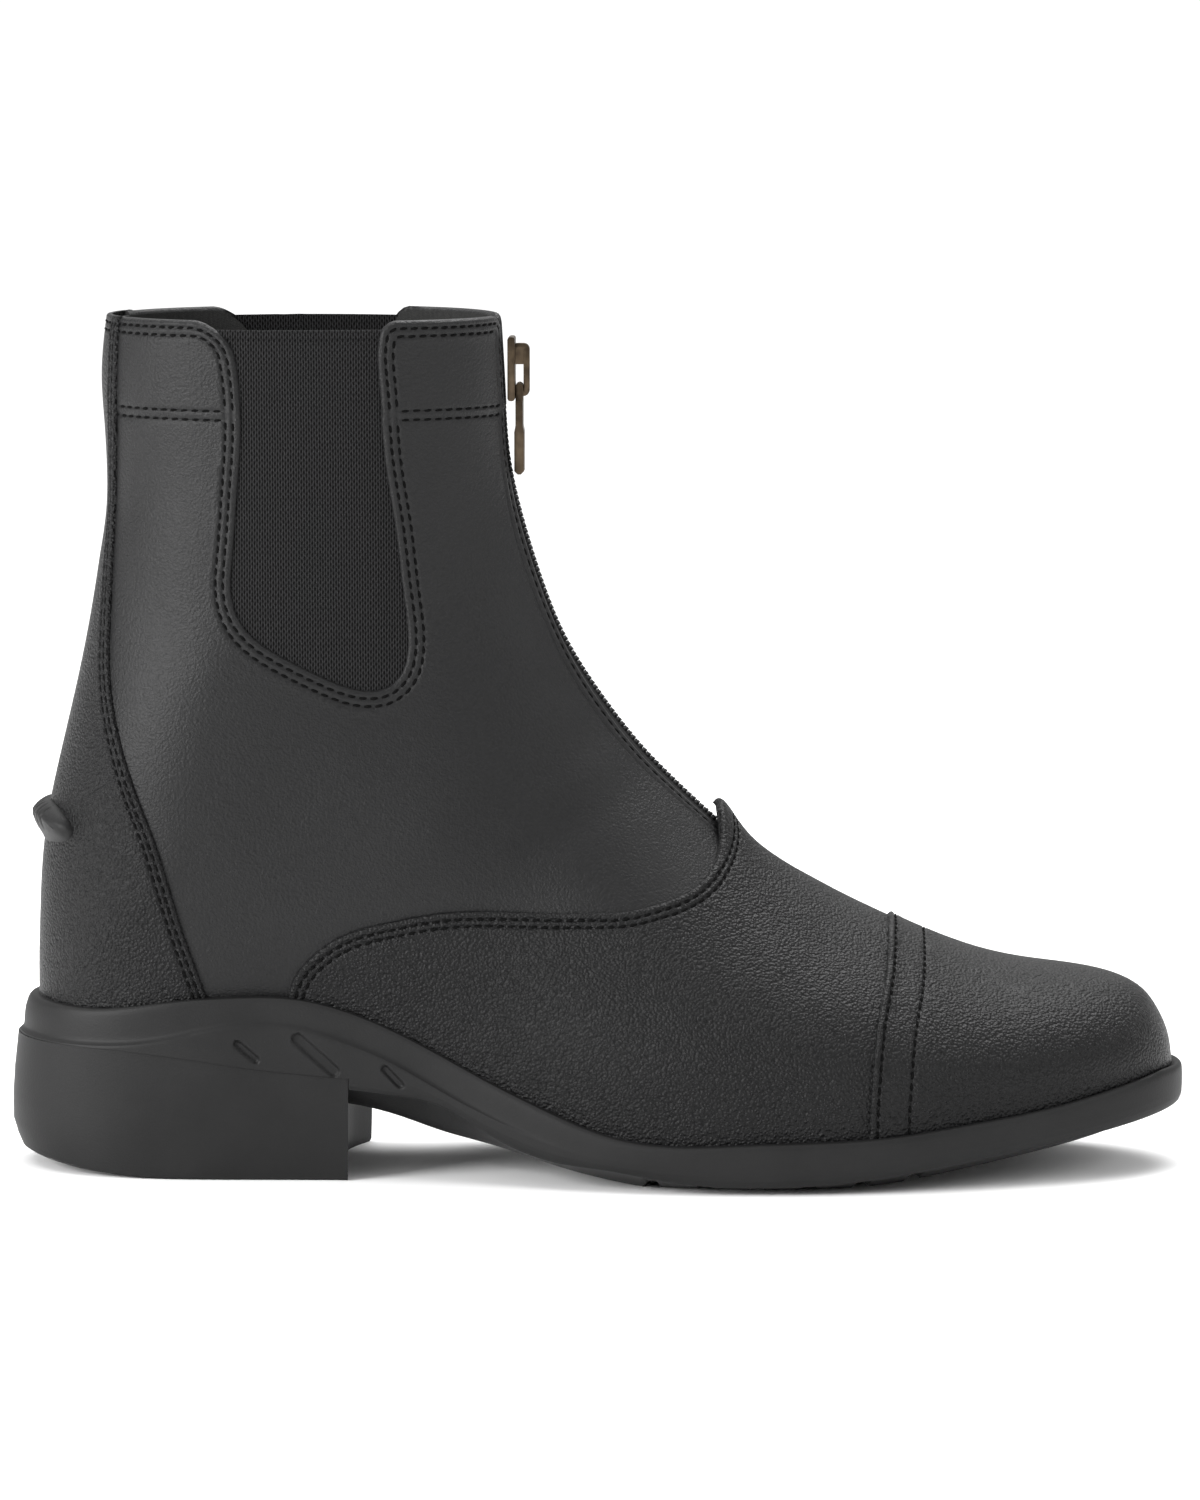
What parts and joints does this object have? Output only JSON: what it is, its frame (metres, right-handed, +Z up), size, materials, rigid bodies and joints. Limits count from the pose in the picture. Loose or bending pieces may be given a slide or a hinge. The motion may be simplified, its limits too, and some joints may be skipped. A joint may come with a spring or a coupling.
{
  "type": "paddock boot",
  "caption": "Ankle-high black leather paddock boot for the right foot, with a front zip, elastic side gores, toe cap, spur rest and a low heel.",
  "frame": {"origin": "on the floor under the middle of the heel block's flat rest", "axes": "+X from the heel to the toe, +Y to the inner side of the foot, +Z up"},
  "size_m": [0.2867, 0.0975, 0.2091],
  "materials": {
    "leather_black": "fine-grained semi-matte leather",
    "elastic_black": "ribbed matte elastic",
    "rubber_black": "moulded satin rubber",
    "metal_bronze": "antique bronze",
    "lining_dark": "soft textile lining"
  },
  "bodies": {
    "boot": {"upper": "leather_black", "vamp": "leather_black", "toe_cap": "leather_black", "counter": "leather_black", "spur_rest": "rubber_black", "gore_outer": "elastic_black", "gore_inner": "elastic_black", "zip_tape": "elastic_black", "zip_slider": "metal_bronze", "insole": "lining_dark", "sole": "rubber_black", "heel": "rubber_black"},
    "pull_tab": {"zip_pull": "metal_bronze"}
  },
  "joints": [
    {"name": "pull_swing", "type": "hinge", "parent": "boot", "child": "pull_tab", "pos_m": [0.08297, 0, 0.19141], "axis": [0, -1, 0], "range_deg": [0, 110]}
  ]
}
